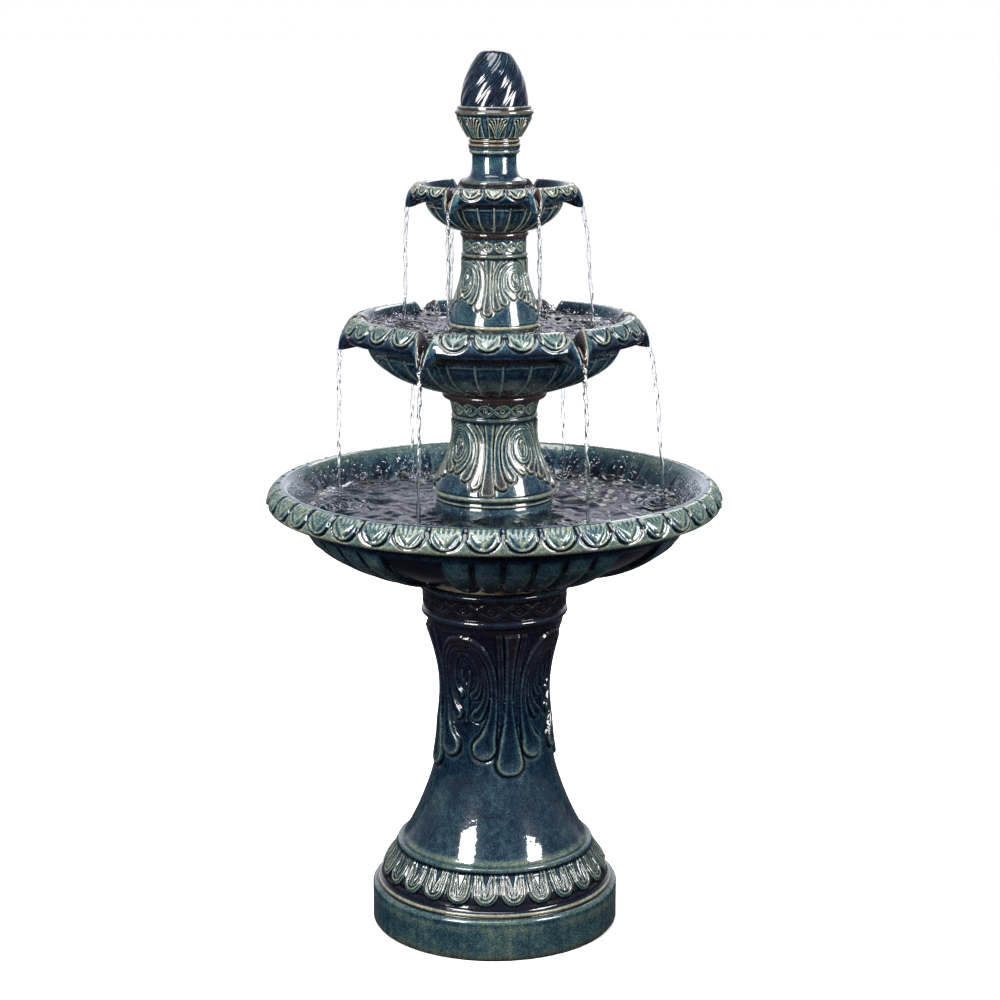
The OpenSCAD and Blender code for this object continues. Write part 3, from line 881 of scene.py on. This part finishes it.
def upper_column():
    p = Profile()
    p.add("base", line([(46, 716.2), (55, 716.2)], 5))
    p.add("shank", line([(55, 716.2), (55.5, 776)], 12) + line([(55.5, 776), (54.3, 779), (55.3, 781.5)], 0.8)
          + line([(55.3, 781.5), (54.4, 783.2)], 0.8) + arc(55, 786, 2.7, -60, 60, 0.7))
    p.add("carved", curve((56.2, 789), (51, 818), (42, 834), (40.2, 854), 0.85)
          + line([(40.2, 854), (39.6, 867.5)], 0.85))
    p.add("torus", arc(39.0, 872.3, 2.5, -70, 70, 0.6))
    p.add("weave", curve((39.6, 875.5), (38.2, 880), (38.4, 888), (40.2, 892.5), 0.65))
    p.add("cap", arc(38.5, 898, 3.9, -60, 90, 0.7))
    p.add("inside", line([(38.5, 902), (35.8, 902), (35.8, 893)], 5)
          + curve((35.8, 893), (28, 880), (29, 845), (35, 834), 8)
          + curve((35, 834), (41, 818), (46, 806), (46, 786), 8) + line([(46, 786), (46, 716.2)], 20))
    column("upper_column_ware", "upper_column", "top_tier", 320, p, axis=35.5,
           bands=fountain_bands(801, 0.735, 0.72), depth=2.4,
           weave=dict(middle=883.6, half=5.0, eye=1.9, radius=39.0),
           ring_rust=((869, 875.5, 0.25), (893, 903, 0.75)))


# ---- crown and finial

def crown():
    p = Profile()
    p.add("base", line([(29, 914.2), (38, 914.2), (38, 951)], 8)
          + curve((38, 951), (38.6, 954), (39.4, 956), (40, 958), 1.2) + arc(36.6, 961, 3.7, -40, 85, 0.8))
    p.add("neck", curve((36, 965.5), (29, 968.5), (27.7, 974), (27.2, 985), 1.4)
          + line([(27.2, 985), (27.4, 996)], 2.5))
    p.add("collar", arc(28.6, 999, 2.7, -75, 45, 0.6) + line([(31.2, 1001.5), (31.6, 1003.5)], 0.7)
          + arc(30.4, 1006.5, 1.9, -40, 75, 0.6) + arc(30.0, 1011.8, 1.7, -50, 80, 0.6))
    p.add("cup", curve((30.4, 1015), (32.5, 1019), (37, 1025), (40.8, 1033), 0.6)
          + curve((40.8, 1033), (42.2, 1036.2), (44.0, 1039), (45.4, 1041.5), 0.6))
    p.add("lip", arc(45.4, 1046, 3.0, -55, 75, 0.6)
          + line([(45.6, 1050), (45.2, 1053.6), (42.4, 1053.6)], 1.0))
    p.add("inside", line([(42.4, 1053.6), (42.2, 1046), (31, 1046), (29, 1024), (21, 1008), (19, 972),
                          (29, 958), (29, 914.2)], 10))
    cup_foot, cup_height, leaf_step, leaf_half = 1015.0, 27.0, 45.0, 15.0
    ribs = ((4.6, 2.2, 0.88), (9.6, 2.0, 0.80), (15.0, 1.7, 0.66))

    def relief(azimuth, radius, height, spans):
        push = np.zeros(radius.shape)
        rows = spans["cup"]
        v = (height[rows] - cup_foot) / cup_height
        x = np.radians(wrap(azimuth - 6.0, leaf_step)) * radius[rows]
        side = np.abs(x)
        veins = 1.5 * ridge(x, 1.2) * smooth(0.0, 0.15, v)
        for lean, bow, top in ribs:
            centre = lean * np.clip(v, 0, 1) ** bow + 0.12 * lean
            rib = 1.7 * ridge(side - centre, 1.05) * smooth(0, 0.08, v) * smooth(top + 0.10, top, v)
            veins = np.maximum(veins, rib)
        blade = 0.9 * smooth(leaf_half, leaf_half - 2.5, side * (1.45 - 0.5 * v))
        push[rows] = (veins + blade) * smooth(0, 0.06, v) * smooth(1.0, 0.93, v)
        return push

    def tone(azimuth, radius, height, spans):
        return shades(p, np.full(radius.shape, 0.52), base=0.25, collar=0.38, cup=0.62, lip=0.35)

    def rust(azimuth, radius, height, spans):
        return 0.5 * smooth(1002, 1004, height) * smooth(1015, 1012, height) \
            + 0.75 * smooth(1043, 1046, height) * smooth(1052, 1049, height) \
            + 0.4 * smooth(954, 957, height) * smooth(966, 963, height)

    stoneware("crown_ware", p, 384, "crown", "crown", relief, tone, rust=rust)


def finial():
    p = Profile()
    p.add("dome", line([(32.5, 1046.2), (40.2, 1046.2), (41.2, 1055)], 1.6)
          + curve((41.2, 1055), (41.0, 1077), (35, 1095), (21.5, 1113.5), 0.9)
          + curve((21.5, 1113.5), (18.5, 1117.6), (16, 1119.6), (12, 1119.8), 0.8))
    p.add("mouth", line([(12, 1119.8), (9.4, 1119), (8.6, 1117.5), (8.6, 1104)], 1.5))
    p.add("inside", curve((8.6, 1104), (24, 1102), (33, 1080), (33, 1054), 8)
          + line([(33, 1054), (32.5, 1046.2)], 5))
    lobes, foot = 14, 1053.0

    def relief(azimuth, radius, height, spans):
        push = np.zeros(radius.shape)
        rows = spans["dome"]
        z, r = height[rows], radius[rows]
        half_step = 180.0 / lobes
        twist = 1.0 * (z - foot) + 0.006 * np.clip(z - foot, 0, None) ** 2
        phase = np.abs(wrap(azimuth - 3.0 - twist, 2 * half_step) / half_step)
        lobe = 1.3 * (0.2 - phase ** 2.2) * r / 40.0
        seam = 0.8 * ridge((1 - phase) * np.radians(half_step) * r, 0.9)
        push[rows] = smooth(1120, 1112, z) * smooth(10, 20, r) * (lobe + seam)
        return push

    def tone(azimuth, radius, height, spans):
        return np.full(radius.shape, 0.02)

    stoneware("finial_ware", p, 336, "finial", "finial", relief, tone)


pedestal_base()
pedestal_shaft()
basin()
lower_column()
middle_bowl()
upper_column()
top_bowl()
crown()
finial()


# ---- carried-over pieces

FINISHES = {
    "rubber": ("black_rubber", (0.012,) * 3, (0.03,) * 3, 0.6, 900, 0.0002),
    "vinyl": ("clear_vinyl", (0.55, 0.62, 0.63), (0.68, 0.74, 0.75), 0.2, 300, 0.0001, 0.0, 0.6),
    "steel": ("clamp_steel", (0.50, 0.50, 0.51), (0.66, 0.66, 0.67), 0.28, 1200, 0.0001, 1.0),
    "pump_plastic": ("pump_plastic", (0.012, 0.012, 0.014), (0.028, 0.028, 0.03), 0.42, 1500, 0.0001),
    "sponge": ("filter_sponge", (0.01,) * 3, (0.05,) * 3, 0.95, 700, 0.0012),
    "impeller_plastic": ("impeller_plastic", (0.66, 0.64, 0.56), (0.76, 0.74, 0.66), 0.4, 1200, 0.0001),
    "magnet": ("ferrite_magnet", (0.06, 0.06, 0.065), (0.10, 0.10, 0.105), 0.5, 1500, 0.0001),
    "shaft_ceramic": ("shaft_ceramic", (0.80, 0.80, 0.78), (0.88, 0.88, 0.86), 0.2, 900, 0.0001),
}
finish_of = {slot: moulded_material(*finish) for slot, finish in FINISHES.items()}
slot_of = {part["node"]: part["material_slot"] for part in frame["record"]["subparts"]}
for node_name, node_object in frame["nodes"].items():
    if node_object.hide_render or slot_of[node_name] not in finish_of:
        continue
    for material_slot in node_object.material_slots:
        material_slot.material = finish_of[slot_of[node_name]]


# ---- water

def waves(x, y, sources, swell, longest, rng):
    """Height of a chop, whose longest waves are given, and of rings that spread from each source.
    A source is (x, y, strength, ring spacing)."""
    height = np.zeros(np.broadcast(x, y).shape)
    for _ in range(26):
        heading = rng.uniform(0, 2 * math.pi)
        length = rng.uniform(0.26, 1.0) * longest
        k = 2 * math.pi / length
        phase = k * (x * math.cos(heading) + y * math.sin(heading)) + rng.uniform(0, 2 * math.pi)
        height += swell * length / longest * np.sin(phase + 0.7 * np.sin(0.031 * (x - y) + heading))
    for sx, sy, strength, length in sources:
        d = np.hypot(x - sx, y - sy)
        height += strength * np.cos(2 * np.pi * d / length) * np.exp(-d / (2.6 * length)) * smooth(0, 5, d)
        height += 1.6 * strength * ridge(d, 5.0)
    return height


def pool(name, body, level, inner_r, wall, columns, sources, swell, longest):
    """Water between a column and a bowl's wall: a rippled top and an underside just inside the ware.
    wall is the wetted outline of the bowl as (radius, height), from the waterline to the column."""
    outer_r = wall[0][0]
    rng = random.Random(len(name))
    rows = 110
    radii = outer_r + (inner_r - outer_r) * np.arange(rows) / (rows - 1)
    under = np.array(wall[1:], float)[::-1]
    azimuth = np.radians(360.0 * np.arange(columns) / columns)[None, :]
    r = np.concatenate([radii, under[:, 0]])[:, None]
    x = r * np.sin(azimuth)
    y = -r * np.cos(azimuth)
    calm = smooth(inner_r - 2, inner_r + 6, radii)[:, None] * smooth(outer_r + 1, outer_r - 3, radii)[:, None]
    top = level + calm * waves(x[:rows], y[:rows], sources, swell, longest, rng)
    z = np.concatenate([top, np.repeat(under[:, 1:], columns, 1)])
    points = np.stack([x, y, z], -1).reshape(-1, 3) * MM
    obj = mesh_object(name, points, grid_faces(len(r), columns))
    obj.data.materials.append(POOL_WATER)
    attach(obj, body)


def stream_path(start, end, steps):
    """Falling arc from start to end."""
    t = np.linspace(0, 1, steps)[:, None]
    start, end = np.array([start, end])
    fall = start[2:] + (end[2:] - start[2:]) * (0.30 * t + 0.70 * t ** 2)
    return np.hstack([start[:2] + (end[:2] - start[:2]) * t ** 0.85, fall])


def stream(name, start, end, width, seed):
    """Braided ribbon of falling water."""
    rng = random.Random(seed)
    drop = abs(start[2] - end[2])
    steps = max(40, int(drop / 1.6))
    around = 20
    path = stream_path(start, end, steps)
    turn = rng.uniform(0, math.pi)
    speed = rng.uniform(0.10, 0.13)
    phase = rng.uniform(0, 6.28)
    s = np.linspace(0, drop, steps)
    twist = turn + speed * s
    neck = 0.70 + 0.30 * np.exp(-s / 30.0)
    beads = 1 + 0.07 * np.sin(0.31 * s + phase) + 0.06 * np.sin(0.63 * s + 2.1 * phase)
    size = (0.5 * width * neck * beads)[:, None]
    wander = 0.5 * np.sin(0.09 * s + phase) + 0.35 * np.sin(0.27 * s)
    angle = np.linspace(0, 2 * np.pi, around, endpoint=False)[None, :]
    twist = twist[:, None]
    ribbon = 0.80 * size * (1 + 0.30 * np.cos(2 * (angle - twist)) + 0.14 * np.cos(3 * (angle + 2.3 * twist)))
    x = path[:, :1] + wander[:, None] + ribbon * np.cos(angle)
    y = path[:, 1:2] + ribbon * np.sin(angle)
    z = np.repeat(path[:, 2:], around, 1)
    points = np.stack([x, y, z], -1).reshape(-1, 3) * MM
    obj = mesh_object(name, points, grid_faces(steps, around, close_rows=False))
    obj.data.materials.append(STREAM_WATER)
    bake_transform(obj)


def on_ring(angle, radius, height):
    """Point at an angle, radius and height."""
    a = math.radians(angle)
    return (radius * math.sin(a), -radius * math.cos(a), height)


BASIN_LEVEL, MIDDLE_LEVEL, TOP_LEVEL = 555.0, 783.5, 949.5
MIDDLE_REACH = (205, 216, 207, 203, 197, 201)
TOP_REACH = (113, 123, 116, 115, 112, 109)
middle_landings = []
top_landings = []
for k in range(SPOUTS):
    angle = MIDDLE_SPOUT + SPOUT_STEP * k
    middle_landings.append(on_ring(angle, MIDDLE_REACH[k], BASIN_LEVEL))
    stream(f"middle_stream_{k}", on_ring(angle, 193.5, 755.5), middle_landings[k], 7.0,
           11 + k)
    angle = TOP_SPOUT + SPOUT_STEP * k
    top_landings.append(on_ring(angle, TOP_REACH[k], MIDDLE_LEVEL))
    stream(f"top_stream_{k}", on_ring(angle, 108, 931), top_landings[k], 6.0,
           31 + k)

pool("basin_water", "basin", BASIN_LEVEL, 74.0,
     ((244, BASIN_LEVEL), (236.6, 541.5), (221.8, 522.2), (200, 507.2), (175.7, 494.2), (150, 485.8),
      (74, 484.6)), 720, [(x, y, 2.0, 13.0) for x, y, _ in middle_landings], 0.46, 48.0)
pool("middle_water", "middle_tier", MIDDLE_LEVEL, 55.0,
     ((157.6, MIDDLE_LEVEL), (149.5, 766), (143, 745), (118, 723), (95, 716), (55, 715.6)), 560,
     [(x, y, 1.8, 10.0) for x, y, _ in top_landings], 0.34, 34.0)
pool("top_water", "top_tier", TOP_LEVEL, 37.8,
     ((86, TOP_LEVEL), (80, 940), (74, 927), (60, 917), (50, 914), (37.8, 913.6)), 360, [], 0.20, 22.0)


def bead_mesh(name, body, seeds, squat):
    """Many small domes of water in one mesh. Each seed is (place, normal, radius) in mm."""
    rings, around = 4, 8
    points = []
    faces = []
    for place, normal, radius in seeds:
        normal = np.array(normal) / np.linalg.norm(normal)
        side = np.cross(normal, (0.31, 0.17, 0.93))
        side /= np.linalg.norm(side)
        other = np.cross(normal, side)
        start = len(points)
        for i in range(rings):
            lat = math.radians(-35 + 115 * i / (rings - 1))
            for j in range(around):
                a = 2 * math.pi * j / around
                flat = radius * math.cos(lat)
                points.append(np.array(place) + flat * (math.cos(a) * side + math.sin(a) * other)
                              + squat * radius * math.sin(lat) * normal)
        for i in range(rings - 1):
            for j in range(around):
                a, b = start + i * around + j, start + i * around + (j + 1) % around
                faces.append((a, b, b + around, a + around))
        for j in range(1, around // 2):
            top = start + (rings - 1) * around
            faces.append((top + j - 1, top + j, top + around - 1 - j, top + (around - j) % around))
            faces.append((start + (around - j) % around, start + around - 1 - j, start + j, start + j - 1))
    obj = mesh_object(name, np.array(points) * MM, faces)
    obj.data.materials.append(STREAM_WATER)
    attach(obj, body)


def wall_drops(rng, count, outline, inward):
    """Drops on a turned wall given as (radius, height) points, facing out or in."""
    seeds = []
    outline = np.array(outline, float)
    for _ in range(count):
        t = rng.uniform(0, len(outline) - 1.001)
        k = int(t)
        (r0, z0), (r1, z1) = outline[k], outline[k + 1]
        r = r0 + (r1 - r0) * (t - k)
        z = z0 + (z1 - z0) * (t - k)
        a = rng.uniform(0, 2 * math.pi)
        nr, nz = (z1 - z0), -(r1 - r0)
        if inward:
            nr, nz = -nr, -nz
        size = rng.uniform(0.7, 1.3) + 1.3 * rng.random() ** 4
        place = (r * math.sin(a), -r * math.cos(a), z)
        seeds.append((place, (nr * math.sin(a), -nr * math.cos(a), nz), size))
    return seeds


def bubbles(rng, landings, level, spread, count, biggest):
    """Bubbles and splashes round the places where streams land."""
    seeds = []
    for x, y, _ in landings:
        for _ in range(count):
            a = rng.uniform(0, 2 * math.pi)
            d = spread * (0.15 + rng.random() ** 1.6)
            size = 0.8 + (biggest - 0.8) * rng.random() ** 2
            lift = rng.uniform(2, 16) if rng.random() < 0.22 and d < 0.6 * spread else 0.2
            if lift > 1:
                size = min(size, 1.6)
            seeds.append(((x + d * math.cos(a), y + d * math.sin(a), level + lift), (0, 0, 1), size))
    return seeds


drops = random.Random(7)
bead_mesh("basin_drops", "basin", wall_drops(drops, 1700, ((242.4, 554), (250, 567), (259, 579)), True)
          + bubbles(drops, middle_landings, BASIN_LEVEL, 30.0, 46, 4.6), 0.75)
bead_mesh("middle_drops", "middle_tier",
          wall_drops(drops, 800, ((74.3, 500), (74.6, 530), (74.8, 558)), False)
          + wall_drops(drops, 500, ((155, 783), (158.5, 788), (161, 791)), True)
          + bubbles(drops, top_landings, MIDDLE_LEVEL, 22.0, 40, 3.4), 0.75)
bead_mesh("top_drops", "top_tier",
          wall_drops(drops, 600, ((55.2, 732), (55.4, 752), (55.6, 774)), False), 0.6)


# ---- studio

def area_light(name, azimuth, distance, height, size_x, size_y, power, aim_height):
    """Softbox at an angle, distance and height, aimed at the fountain's axis."""
    data = bpy.data.lights.new(name, "AREA")
    data.shape = "RECTANGLE"
    data.size, data.size_y = size_x, size_y
    data.energy = power
    light = bpy.data.objects.new(name, data)
    a = math.radians(azimuth)
    light.location = (distance * math.sin(a), -distance * math.cos(a), height)
    pitch = math.atan2(aim_height - height, distance)
    light.rotation_euler = (math.pi / 2 + pitch, 0, a)
    light.visible_camera = False
    bpy.context.scene.collection.objects.link(light)
    return light


def world():
    """Pale room: bright at the horizon, dim in front of the fountain, plain white where the camera looks."""
    room = bpy.data.worlds.new("studio")
    room.use_nodes = True
    graph = Graph(room.node_tree)
    fill = graph.nodes["Background"]
    direction = graph.nodes.new("ShaderNodeTexCoord")
    split = graph.nodes.new("ShaderNodeSeparateXYZ")
    graph.feed(split.inputs[0], direction.outputs["Generated"])
    height = graph.math("ADD", graph.math("MULTIPLY", split.outputs["Z"], 0.5), 0.5)
    graph.feed(fill.inputs["Color"], graph.ramp(height, (
        (0.48, (0.05, 0.05, 0.06)), (0.53, (0.78, 0.78, 0.88)),
        (0.68, (0.62, 0.62, 0.70)), (1.0, (0.30, 0.30, 0.33)))))
    behind = graph.grey_ramp(split.outputs["Y"], ((0.60, 0.24), (0.95, 1)))
    graph.feed(fill.inputs["Strength"], graph.math("MULTIPLY", behind, 1.35))
    backdrop = graph.nodes.new("ShaderNodeBackground")
    graph.feed(backdrop.inputs["Color"], (1, 1, 1))
    seen = graph.nodes.new("ShaderNodeLightPath")
    mixed = graph.nodes.new("ShaderNodeMixShader")
    for socket, output in zip(mixed.inputs, (seen.outputs["Is Camera Ray"], fill.outputs["Background"],
                                             backdrop.outputs["Background"])):
        graph.feed(socket, output)
    graph.feed(graph.nodes["World Output"].inputs["Surface"], mixed.outputs["Shader"])
    bpy.context.scene.world = room


def studio():
    """Floor, two softboxes in front, a wide light behind and a soft overhead sun, in metres."""
    corners = [(90 * x, 90 * y, 0) for x, y in ((-1, -1), (1, -1), (1, 1), (-1, 1))]
    floor = mesh_object("studio_floor", corners, [(0, 1, 2, 3)])
    floor.visible_glossy = False
    floor.visible_diffuse = False
    mat, _, shader = material("pale_floor")
    set_inputs(shader, Base_Color=(0.86, 0.86, 0.86, 1), Roughness=0.9, Specular_IOR_Level=0.0)
    floor.data.materials.append(mat)
    area_light("soft_left", -38, 1.5, 1.385, 0.55, 1.23, 60, 1.385)
    area_light("soft_right", 54.5, 1.35, 1.35, 0.48, 1.20, 45, 1.35)
    back = area_light("soft_back", 180, 2.4, 2.2, 1.6, 1.4, 120, 0.7)
    back.visible_glossy = False
    back.visible_transmission = False
    area_light("back_sparkle", 165, 2.4, 2.45, 1.1, 0.9, 14, 0.7)
    sun = bpy.data.lights.new("overhead", "SUN")
    sun.energy = 3.2
    sun.angle = math.radians(40)
    overhead = bpy.data.objects.new("overhead", sun)
    overhead.rotation_euler = (math.radians(12), math.radians(-8), 0)
    bpy.context.scene.collection.objects.link(overhead)
    bpy.context.scene.view_settings.view_transform = "Standard"


def camera():
    data = bpy.data.cameras.new("camera")
    data.sensor_width = 36
    data.lens = 81.25
    data.clip_end = 200
    obj = bpy.data.objects.new("camera", data)
    obj.location = (0.007, -2.805, 1.171)
    obj.rotation_euler = (math.radians(90 - 12.31), 0, 0)
    bpy.context.scene.collection.objects.link(obj)
    bpy.context.scene.camera = obj


world()
studio()
camera()
